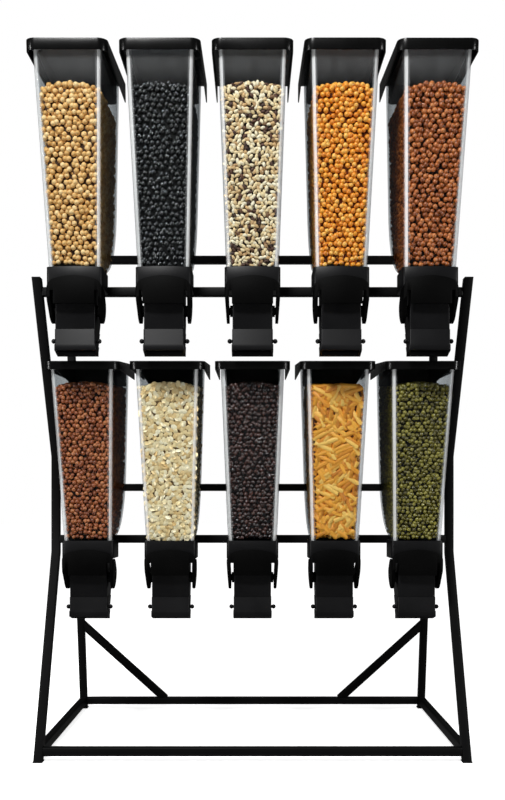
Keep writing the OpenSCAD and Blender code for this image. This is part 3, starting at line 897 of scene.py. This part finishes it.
@dataclass
class FoodLoad:
    """The food in one hopper: a closed core with grains lying all over it."""

    place: BinPlace
    kind: FoodKind
    wall: float = 3.3 * MM
    crown: float = 12.0 * MM

    TONE: ClassVar[str] = "grain_tone"
    TONES: ClassVar[tuple[float, float]] = (0.08, 1.0)
    SIZES: ClassVar[tuple[float, float]] = (0.9, 1.07)
    FRONT_ANGLES: ClassVar[tuple[float, ...]] = (0.5, -0.6, 0.95, -1.05, 1.4)
    ROW_STEP: ClassVar[float] = 0.87
    SHIFT: ClassVar[float] = 0.25
    STRAY_ALONG: ClassVar[float] = 0.27
    STRAY_UP: ClassVar[float] = 0.26

    @property
    def half_depth(self) -> float:
        """Half the thickness of a grain."""
        return self.kind.half[2] * MM

    @property
    def is_long(self) -> bool:
        """Whether the pieces of food are long tubes."""
        return self.kind.form is GrainForm.TUBE

    def swell(self, x: float, y: float) -> float:
        """Work out how far the heap rises, which is most in the middle of the front.

        Args:
            x: Place across.
            y: Place from front to rear.

        Returns:
            The rise above the fill height.
        """
        fill = self.place.fill
        form = self.place.form
        side, front, rear = form.side(fill), form.front(fill), form.rear(fill)
        middle = (front + rear) / 2
        across = max(0.0, 1 - (x / side) ** 2)
        return self.crown * across * max(0.0, min(1.0, (rear - y) / (rear - middle)))

    def build(self) -> bpy.types.Object:
        """Make the food in place of its CAD solid."""
        draw = random.Random(self.place.number)
        bm = self._core()
        grain = self._grain()
        for at, out in self._spots(draw):
            self._lay(bm, grain, at, out, draw)
        bpy.data.meshes.remove(grain)
        bmesh.ops.transform(bm, matrix=self.place.leaned, verts=bm.verts)
        row = "upper" if self.place.is_upper else "lower"
        name = f"food_load_{self.place.number}"
        made = new_piece(name, bm, self.kind.finish.build(), ROOT_BODY, f"food_{row}", 60.0)
        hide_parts(f"food_{row}")
        return made

    def _core(self) -> BMesh:
        """Build the closed core under the grains and its heaped top."""
        form, fill = self.place.form, self.place.fill
        inset = self.wall + self.half_depth * 1.7
        bm = form.shell(inset, inset, fill - self.half_depth * 1.5, 10)
        bmesh.ops.holes_fill(bm, edges=[e for e in bm.edges if e.is_boundary], sides=0)
        side = form.side(fill) - inset - 2 * MM
        front, rear = form.front(fill) + inset + 2 * MM, form.rear(fill) - inset - 2 * MM
        heap = bmesh.new()
        bmesh.ops.create_grid(heap, x_segments=10, y_segments=6, size=0.5)
        for vert in heap.verts:
            x, y = vert.co.x * 2 * side, (front + rear) / 2 + vert.co.y * (rear - front)
            vert.co = (x, y, fill + self.swell(x, y) - self.half_depth * 1.5)
        lower = bmesh.ops.extrude_face_region(heap, geom=heap.faces[:])["geom"]
        for vert in only_verts(lower):
            vert.co.z = fill - 30 * MM
        append(bm, heap)
        bmesh.ops.recalc_face_normals(bm, faces=bm.faces)
        bmesh.ops.triangulate(bm, faces=bm.faces)
        # The core keeps a tone of 0, so it takes the darkest colour: painted shade in the gaps between
        # the grains.
        bm.verts.layers.float.new(self.TONE)
        return bm

    def _grain(self) -> bpy.types.Mesh:
        """Build one grain around the origin, flat side up."""
        bm = bmesh.new()
        half = Vector(self.kind.half) * MM
        match self.kind.form:
            case GrainForm.TUBE:
                self._shape_tube(bm)
            case GrainForm.FLAKE:
                bmesh.ops.create_uvsphere(bm, u_segments=8, v_segments=4, radius=1.0)
                for vert in bm.verts:
                    vert.co.z += 0.5 * (vert.co.x * vert.co.x - 0.5)
            case GrainForm.SEED:
                along = Matrix.Rotation(math.pi / 2, 3, "Y")
                bmesh.ops.create_uvsphere(bm, u_segments=6, v_segments=4, radius=1.0)
                bmesh.ops.rotate(bm, cent=(0, 0, 0), matrix=along, verts=bm.verts)
            case _:
                bmesh.ops.create_uvsphere(bm, u_segments=8, v_segments=4, radius=1.0)
                for vert in bm.verts:
                    vert.co.y += 0.12 * vert.co.x * vert.co.x
        bmesh.ops.scale(bm, vec=half, verts=bm.verts)
        bmesh.ops.recalc_face_normals(bm, faces=bm.faces)
        bm.verts.layers.float.new(self.TONE)
        mesh = bpy.data.meshes.new("grain")
        bm.to_mesh(mesh)
        bm.free()
        return mesh

    @staticmethod
    def _shape_tube(bm: BMesh) -> None:
        """Build a ribbed tube with slanted ends along X, of half size 1."""
        along = Matrix.Rotation(math.pi / 2, 4, "Y")
        bmesh.ops.create_cone(
            bm, cap_ends=False, segments=12, radius1=1.0, radius2=1.0, depth=2.0, matrix=along
        )
        for number, vert in enumerate(sorted(bm.verts, key=lambda v: math.atan2(v.co.z, v.co.y))):
            ridge = 1.0 if (number // 2) % 2 else 0.9
            vert.co.y *= ridge
            vert.co.z *= ridge
        bmesh.ops.recalc_face_normals(bm, faces=bm.faces)
        bmesh.ops.solidify(bm, geom=list(bm.faces), thickness=0.24)
        for vert in bm.verts:
            vert.co.x += 0.2 * vert.co.z

    def _lay(
        self,
        bm: BMesh,
        grain: bpy.types.Mesh,
        at: Vector,
        out: Matrix,
        draw: random.Random,
    ) -> None:
        """Lay one grain.

        Args:
            bm: The mesh that takes the grain.
            grain: The grain around the origin.
            at: The grain's middle.
            out: Turns the grain's Z to the direction out of the food.
            draw: The source of chance.
        """
        loose = self.kind.tilt
        tip = Matrix.Rotation(draw.gauss(0, loose), 4, "X")
        tip = tip @ Matrix.Rotation(draw.gauss(0, loose * 0.6), 4, "Y")
        size = draw.uniform(*self.SIZES)
        where = Matrix.Translation(at) @ out @ tip @ Matrix.Scale(size, 4)
        grain.transform(where)
        tone = draw.uniform(*self.TONES)
        grain.attributes[self.TONE].data.foreach_set("value", [tone] * len(grain.vertices))
        bm.from_mesh(grain)
        grain.transform(where.inverted())

    @staticmethod
    def _turned(out: Vector, angle: float) -> Matrix:
        """Return the turn that brings Z to a direction, after a spin about Z."""
        return out.to_track_quat("Z", "Y").to_matrix().to_4x4() @ Matrix.Rotation(angle, 4, "Z")

    def _spots(self, draw: random.Random) -> Iterator[tuple[Vector, Matrix]]:
        """Find where the grains lie and how they are turned.

        Args:
            draw: The source of chance.

        Yields:
            The middle of each grain, and the turn of its Z to the outside of the food.
        """
        pitch = self.kind.pitch * MM
        deep = self.wall + self.half_depth
        parts = ((self._wall_spots, self.FRONT_ANGLES), (self._rear_spots, ()), (self._top_spots, ()))
        for spots, angles in parts:
            for at, out in spots(draw, pitch, deep):
                if self.is_long:
                    angle = draw.choice(angles) if angles else 0.0
                    turn = self._turned(out, angle + draw.uniform(-0.2, 0.2))
                    yield self._held(at, turn), turn
                else:
                    yield at, self._turned(out, draw.uniform(0, 2 * math.pi))

    def _held(self, at: Vector, turn: Matrix) -> Vector:
        """Move a long piece so that it lies inside the hopper's walls.

        Args:
            at: The middle of the piece.
            turn: How it is turned.

        Returns:
            The middle's new place.
        """
        form, thick = self.place.form, self.half_depth * 1.3
        along = turn.to_3x3() @ Vector((self.kind.half[0] * 1.1 * MM, 0, 0))
        reach = Vector((abs(along.x) + thick, abs(along.y) + thick, abs(along.z) + thick))
        top = self.place.fill + self.crown - reach.z
        up = max(self.wall + reach.z, min(top, at.z))
        low = up - reach.z
        side = max(0.0, form.side(low) - self.wall - reach.x)
        front, rear = form.front(low) + self.wall + reach.y, form.rear(low) - self.wall - reach.y
        return Vector((max(-side, min(side, at.x)), max(front, min(rear, at.y)), up))

    @staticmethod
    def _rows(low: float, high: float, pitch: float) -> Iterator[tuple[int, float]]:
        """Share a height among rows of grains.

        Args:
            low: Where the rows start.
            high: Where they end.
            pitch: The grains' spacing.

        Yields:
            The number and the middle of each row.
        """
        count = max(1, round((high - low) / (pitch * FoodLoad.ROW_STEP)))
        for row in range(count):
            yield row, low + (high - low) * (row + 0.5) / count

    def _line(
        self, row: int, low: float, high: float, pitch: float, draw: random.Random
    ) -> Iterator[float]:
        """Share one row among grains.

        Args:
            row: The row's number: odd rows are shifted against even ones.
            low: Where the row starts.
            high: Where it ends.
            pitch: The grains' spacing.
            draw: The source of chance.

        Yields:
            A place for each grain.
        """
        count = max(1, round((high - low) / pitch))
        step = (high - low) / count
        shift = self.SHIFT if row % 2 else -self.SHIFT
        stray = self.STRAY_ALONG
        for i in range(count):
            yield min(high, max(low, low + (i + 0.5 + shift + draw.uniform(-stray, stray)) * step))

    def _round_corner(self, x: float, side: float) -> float:
        """Work out how far the hopper's rounded corner pushes a grain inwards.

        Args:
            x: The grain's place across.
            side: Half the width that the grains' middles may take.

        Returns:
            The distance, which is 0 away from the corner.
        """
        radius = self.place.form.CORNER - self.wall
        past = abs(x) - (side + self.half_depth - radius)
        return 0.0 if past <= 0 else radius - math.sqrt(max(0.0, radius * radius - past * past))

    def _wall_spots(self, draw: random.Random, pitch: float, deep: float) -> Iterator[Spot]:
        """Find spots on the front wall, in two layers, and on both side walls.

        Args:
            draw: The source of chance.
            pitch: The grains' spacing.
            deep: How far inside the hopper's outer face the grains' middles lie.

        Yields:
            The spots.
        """
        form, fill = self.place.form, self.place.fill
        stray = self.STRAY_UP
        for row, up in self._rows(self.wall + self.half_depth, fill + self.crown, pitch):
            side = form.side(up) - deep
            front = form.front(up) + deep
            for layer in (1, 0):
                for x in self._line(row + layer, -side, side, pitch, draw):
                    behind = (layer * 1.25 + draw.uniform(0, 0.4)) * self.half_depth
                    inwards = self._round_corner(x, side) + behind
                    rise = (draw.uniform(-stray, stray) + layer * 0.45) * pitch
                    if up + layer * 0.5 * pitch + self.half_depth * 0.6 < fill + self.swell(x, front):
                        yield Vector((x, front + inwards, up + rise)), Vector((0, -1, 0))
            if up > fill:
                continue
            rear = form.rear(up) - deep
            for y in self._line(row, front + pitch * 0.8, rear, pitch, draw):
                for sign in (-1, 1):
                    inwards = draw.uniform(0, 0.35) * self.half_depth
                    rise = draw.uniform(-stray, stray) * pitch
                    yield Vector((sign * (side - inwards), y, up + rise)), Vector((sign, 0, 0))

    def _rear_spots(self, draw: random.Random, pitch: float, deep: float) -> Iterator[Spot]:
        """Find spots on the curved floor and the rear wall, as _wall_spots does."""
        form = self.place.form
        radius = form.FLOOR_R - deep
        for row, arc in self._rows(0.0, radius * math.pi / 2, pitch):
            angle = arc / radius
            out = Vector((0, math.sin(angle), -math.cos(angle)))
            reach = radius - draw.uniform(0, 0.2) * self.half_depth
            at = Vector((0, form.NECK_REAR, form.FLOOR_R)) + out * reach
            side = form.side(at.z) - deep - 1.5 * MM
            for x in self._line(row, -side, side, pitch, draw):
                yield Vector((x, at.y, at.z)), out
        for row, up in self._rows(form.FLOOR_R, self.place.fill, pitch):
            side = form.side(up) - deep
            for x in self._line(row, -side, side, pitch, draw):
                inwards = self._round_corner(x, side) + draw.uniform(0, 0.25) * self.half_depth
                yield Vector((x, form.rear(up) - deep - inwards, up)), Vector((0, 1, 0))

    def _top_spots(self, draw: random.Random, pitch: float, deep: float) -> Iterator[Spot]:
        """Find spots on the heap's top, as _wall_spots does."""
        form = self.place.form
        fill = self.place.fill
        front, rear = form.front(fill) + deep, form.rear(fill) - deep
        side = form.side(fill) - deep
        for row, y in self._rows(front, rear, pitch):
            for x in self._line(row, -side, side, pitch, draw):
                up = fill + self.swell(x, y) + draw.uniform(-0.9, 0.0) * self.half_depth
                yield Vector((x, y, up)), Vector((0, 0, 1))


def evenly(*codes: str) -> tuple[tuple[float, str], ...]:
    """Spread tones evenly from the darkest grain to the palest."""
    return tuple((number / (len(codes) - 1), code) for number, code in enumerate(codes))


def foods() -> dict[int, FoodKind]:
    """Return the food in each bin, by the bin's number."""
    bean, seed, flake, tube = GrainForm.BEAN, GrainForm.SEED, GrainForm.FLAKE, GrainForm.TUBE
    # The first colour of each finish is the core's: painted shade in the gaps between the grains.
    soy = FoodFinish(
        "soybean_skin", "#3a200a", evenly("#cf9a50", "#ecba70", "#fad596"), "#b67a36", 0.45, 0.15
    )
    shiny = ((0.0, "#030304"), (0.6, "#070809"), (1.0, "#0d0e11"))
    black = FoodFinish("black_bean_skin", "#010101", shiny, "#121317", 0.32, 0.1, 1.0)
    husks = ((0.0, "#2e150a"), (0.14, "#5a3018"), (0.2, "#d6ab74"), (0.55, "#f2d8a4"), (1.0, "#fdf0d0"))
    mixed = FoodFinish("mixed_seed_husk", "#1c0b04", husks, "#a87840", 0.6, 0.25, skin_depth=0.00015)
    maize = FoodFinish(
        "maize_skin", "#5a2402", evenly("#e8850e", "#fba326", "#ffc054"), "#d46c06", 0.38, 0.2, 0.15
    )
    brown = FoodFinish(
        "brown_bean_skin", "#1a0903", evenly("#8a4316", "#b56026", "#d07c3e"), "#6a3110", 0.36, 0.2, 0.2
    )
    red = FoodFinish(
        "red_bean_skin", "#160703", evenly("#7c3c1c", "#a8592c", "#c67a46"), "#662c14", 0.4, 0.2, 0.1
    )
    flakes = evenly("#dcb674", "#f6dfa8", "#fff3d0")
    oat = FoodFinish("oat_flake", "#5a3a14", flakes, "#d0a662", 0.7, 0.3, skin_depth=0.0002)
    dark = FoodFinish(
        "dark_bean_skin", "#040202", evenly("#22100b", "#371b14", "#4d2a21"), "#150806", 0.34, 0.2, 0.8
    )
    doughs = ((0.0, "#d07a14"), (0.3, "#ee9c22"), (0.7, "#f9b034"), (1.0, "#ffce66"))
    penne = FoodFinish("penne_dough", "#4a1c02", doughs, "#d0800f", 0.5, 0.2, skin_depth=0.00012)
    mung = FoodFinish(
        "mung_bean_skin", "#0d0a02", evenly("#4c430f", "#74691c", "#9c9038"), "#3a300a", 0.36, 0.2, 0.4
    )
    return {
        1: FoodKind(bean, (6.3, 6.0, 5.7), 11.8, soy),
        2: FoodKind(bean, (6.2, 5.5, 5.3), 11.4, black),
        3: FoodKind(seed, (6.4, 3.8, 3.3), 8.9, mixed, 0.25),
        4: FoodKind(bean, (6.1, 5.8, 5.5), 11.3, maize),
        5: FoodKind(bean, (6.2, 5.7, 5.4), 11.3, brown),
        6: FoodKind(bean, (5.6, 5.1, 4.9), 10.2, red),
        7: FoodKind(flake, (7.2, 5.9, 2.0), 9.6, oat, 0.35),
        8: FoodKind(bean, (5.7, 5.2, 5.0), 10.4, dark),
        9: FoodKind(tube, (22.0, 6.0, 6.0), 15.5, penne, 0.06),
        10: FoodKind(bean, (5.1, 4.8, 4.6), 9.6, mung),
    }


# ---------------- CAD pieces with rounded edges


@dataclass
class RoundedPart:
    """A CAD node shown with its edges rounded as the mould or the tube mill leaves them."""

    node: str
    piece: str
    body: str
    slot: str
    finish: bpy.types.Material
    radius: float
    segments: int = 2

    def build(self, nodes: dict[str, bpy.types.Object]) -> bpy.types.Object:
        """Make the rounded piece in place of its CAD node.

        Args:
            nodes: The CAD nodes by name.

        Returns:
            The new piece.
        """
        bm = merged_copy(nodes[self.node])
        round_edges(bm, self.radius, self.segments)
        made = new_piece(self.piece, bm, self.finish, self.body, self.slot, 35.0)
        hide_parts(self.node)
        return made


def dress_node(node: bpy.types.Object, finish: bpy.types.Material) -> None:
    """Give a CAD node that stays in view its finish.

    Args:
        node: The CAD node.
        finish: Its material.
    """
    if not node.material_slots:
        node.data.materials.append(finish)
    for held in node.material_slots:
        held.material = finish


# ---------------- stage


@dataclass(frozen=True)
class Lamp:
    """A soft lamp that faces the rack. One with lights off is only seen mirrored in the rack."""

    name: str
    at: tuple[float, float, float]
    size: tuple[float, float]
    watts: float
    lights: bool = True

    AIM: ClassVar[Vector] = Vector((0, 0, 0.8))

    def build(self) -> None:
        """Add the lamp."""
        data = bpy.data.lights.new(self.name, "AREA")
        data.shape = "RECTANGLE"
        data.size, data.size_y = self.size
        data.energy = self.watts
        lamp = bpy.data.objects.new(self.name, data)
        lamp.location = self.at
        lamp.rotation_euler = (self.AIM - Vector(self.at)).to_track_quat("-Z", "Y").to_euler()
        lamp.visible_diffuse = self.lights
        bpy.context.scene.collection.objects.link(lamp)


@dataclass
class Stage:
    """White floor and surround, a key and a top lamp, two mirrored strips and the camera.

    Camera and transmission rays see the full white. The shares say how much of it a mirrored
    ray sees of the surround and of the floor: the photographed rack mirrors hardly any, and
    at 1.0 both are mirrored in full.
    """

    camera_at: tuple[float, float, float] = (0.0, -2.194422, 0.556)
    lens: float = 41.2
    shift_y: float = 0.136
    surround: float = 0.32
    surround_mirrored: float = 0.05
    floor_mirrored: float = 0.1
    floor_colour: float = 0.86
    floor_glow: float = 0.78
    lamps: tuple[Lamp, ...] = (
        Lamp("left_strip", (-2.0, -1.2, 1.0), (0.14, 1.7), 50.0, False),
        Lamp("right_strip", (2.0, -1.2, 1.0), (0.14, 1.7), 50.0, False),
        Lamp("key_lamp", (-0.7, -2.3, 2.9), (0.6, 0.5), 160.0),
        Lamp("top_lamp", (0.2, -0.9, 3.2), (1.6, 1.2), 34.0),
    )

    def build(self) -> None:
        """Make the stage."""
        self._floor()
        self._world()
        for lamp in self.lamps:
            lamp.build()
        self._camera()

    def _floor(self) -> None:
        """Make a white floor that keeps the rack's shadow."""
        bm = bmesh.new()
        bmesh.ops.create_grid(bm, x_segments=2, y_segments=2, size=30.0)
        bmesh.ops.translate(bm, vec=(0, 0, -0.0005), verts=bm.verts)
        mesh = bpy.data.meshes.new("floor")
        bm.to_mesh(mesh)
        bm.free()
        floor = bpy.data.objects.new("floor", mesh)
        bpy.context.scene.collection.objects.link(floor)
        material = bpy.data.materials.new("floor_white")
        graph = Graph(material)
        strength = self._seen(graph) * self.floor_glow
        base = graph.node("ShaderNodeBsdfDiffuse", {}, {"Color": (*[self.floor_colour] * 3, 1)})
        glow = graph.node("ShaderNodeEmission", {}, {"Color": (1, 1, 1, 1), "Strength": strength})
        lit = graph.node("ShaderNodeAddShader", {}, {0: base, 1: glow})
        dim = self._ray(graph, "Is Glossy Ray") * (1 - self.floor_mirrored)
        dark = graph.node("ShaderNodeBsdfDiffuse", {}, {"Color": (0, 0, 0, 1)})
        graph.finish(graph.layered(dim, lit, dark))
        mesh.materials.append(material)

    @staticmethod
    def _ray(graph: Graph, kind: str) -> Wire:
        """Return 1 for rays of a kind and 0 for others."""
        return graph.node("ShaderNodeLightPath", {}, {}, kind)

    def _seen(self, graph: Graph) -> Wire:
        """Return 1 for rays that show the background and 0 for rays that light the rack."""
        camera, glossy = self._ray(graph, "Is Camera Ray"), self._ray(graph, "Is Glossy Ray")
        return (camera + glossy + self._ray(graph, "Is Transmission Ray")).limited()

    def _world(self) -> None:
        """Make the white surround, which lights the rack only softly."""
        world = bpy.data.worlds.new("surround")
        bpy.context.scene.world = world
        graph = Graph(world)
        hidden = self._ray(graph, "Is Glossy Ray") * (1 - self.surround_mirrored)
        strength = self.surround + self._seen(graph) * (1 - self.surround) - hidden
        light = graph.node("ShaderNodeBackground", {}, {"Color": (1, 1, 1, 1), "Strength": strength})
        graph.finish(light, "ShaderNodeOutputWorld")

    def _camera(self) -> None:
        """Add the level camera of the photograph."""
        data = bpy.data.cameras.new("camera")
        data.lens = self.lens
        data.sensor_width = 36.0
        data.sensor_fit = "AUTO"
        data.shift_y = self.shift_y
        data.dof.use_dof = False
        data.clip_end = 60.0
        camera = bpy.data.objects.new("camera", data)
        camera.location = self.camera_at
        camera.rotation_euler = (math.pi / 2, 0, 0)
        bpy.context.scene.collection.objects.link(camera)
        bpy.context.scene.camera = camera


# ---------------- the rack


@dataclass
class Rack:
    """The whole rack, built piece by piece around the CAD frame."""

    frame: dict[str, Any]

    @property
    def nodes(self) -> dict[str, bpy.types.Object]:
        """The CAD nodes by name."""
        return self.frame["nodes"]

    def build(self) -> None:
        """Make and dress every piece."""
        self._build_bins()
        self._build_stand()

    def _build_bins(self) -> None:
        """Make the ten bins with their lids, outlets, levers and food."""
        lid = MouldedPlastic("lid_plastic", "#040404", "#070707", 0.24, gloss=0.16).build()
        # The seals are grey, paler than the black lids, to paint light into the headspace under the
        # lids, and the upper row's seal is paler than the lower row's: painted light.
        seal_painted_light_upper = MouldedPlastic("upper_seal_painted_light", "#5a5a5c", "#646466", 0.6).build()
        seal_painted_light_lower = MouldedPlastic("lower_seal_painted_light", "#3a3a3b", "#434344", 0.6).build()
        housing = MouldedPlastic("housing_plastic", "#09090a", "#0e0e0f", 0.4).build()
        # The lever is black plastic, made darker than the other black parts to paint the shade under
        # the outlet hood: partly its own colour, partly painted shade.
        lever = MouldedPlastic("lever_plastic", "#020202", "#040404", 0.55, gloss=0.02).build()
        gate = MouldedPlastic("gate_plastic", "#141415", "#1a1a1b", 0.5).build()
        clear = ClearPlastic("clear_plastic", "#e9ebec", "#8d9093").build()
        kinds = foods()
        for k in range(1, BIN_COUNT + 1):
            place = BinPlace(k)
            self._note(Hopper(place, clear).build())
            self._note(FoodLoad(place, kinds[k]).build())
            cap, arm = f"lid_body_{k}", f"lever_body_{k}"
            parts = (
                (f"lid_{k}", f"hinged_lid_{k}", cap, "lid_plastic", lid, 1.1 * MM, 3),
                (f"outlet_housing_{k}", f"outlet_{k}", ROOT_BODY, "housing_plastic", housing, 0.5 * MM),
                (f"lever_{k}", f"pull_lever_{k}", arm, "lever_plastic", lever, 0.7 * MM),
                (f"gate_{k}", f"shutter_{k}", arm, "gate_plastic", gate, 0.3 * MM),
            )
            for part in parts:
                self._note(RoundedPart(*part).build(self.nodes))
            self._note(LidSeal(place, seal_painted_light_upper if place.is_upper else seal_painted_light_lower).build())

    def _build_stand(self) -> None:
        """Make the tube stand with its glides and brackets, and dress the pins and springs."""
        tube = PowderCoat("frame_powder_coat", "#050505", "#09090a").build()
        strip = PowderCoat("bracket_powder_coat", "#0a0a0b", "#101011", 0.5).build()
        glide = MouldedPlastic("glide_plastic", "#0c0c0d", "#131314", 0.6).build()
        pin = BrushedSteel("pin_steel", "#c9ccd0", (0.1, 6.0, 6.0)).build()
        spring = BrushedSteel("spring_steel", "#b9bcc0", (1.0, 20.0, 20.0), 0.36).build()
        tubes = (
            ("side_frame_left", "tube_frame_left"),
            ("side_frame_right", "tube_frame_right"),
            ("hanging_rails", "cross_rails"),
            ("base_frame", "base_tubes"),
        )
        stand = [RoundedPart(*names, ROOT_BODY, "frame_paint", tube, 1.8 * MM, 3) for names in tubes]
        stand += [
            RoundedPart("foot_glides", "floor_glides", ROOT_BODY, "glide_plastic", glide, 0.8 * MM),
            RoundedPart("rail_brackets", "rail_hooks", ROOT_BODY, "bracket_paint", strip, 0.5 * MM),
        ]
        for part in stand:
            self._note(part.build(self.nodes))
        dress_node(self.nodes["lid_pins"], pin)
        dress_node(self.nodes["lever_springs"], spring)

    @staticmethod
    def _note(piece: bpy.types.Object) -> None:
        """Report one finished piece."""
        LOG.info("%s: %d faces", piece.name, len(piece.data.polygons))


def main() -> None:
    """Build the scene around the frame."""
    logging.basicConfig(level=logging.INFO, format="%(name)s %(message)s")
    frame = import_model()
    scene = bpy.context.scene
    scene.view_settings.view_transform = "Standard"
    Stage().build()
    Rack(frame).build()


if __name__ == "__main__":
    main()
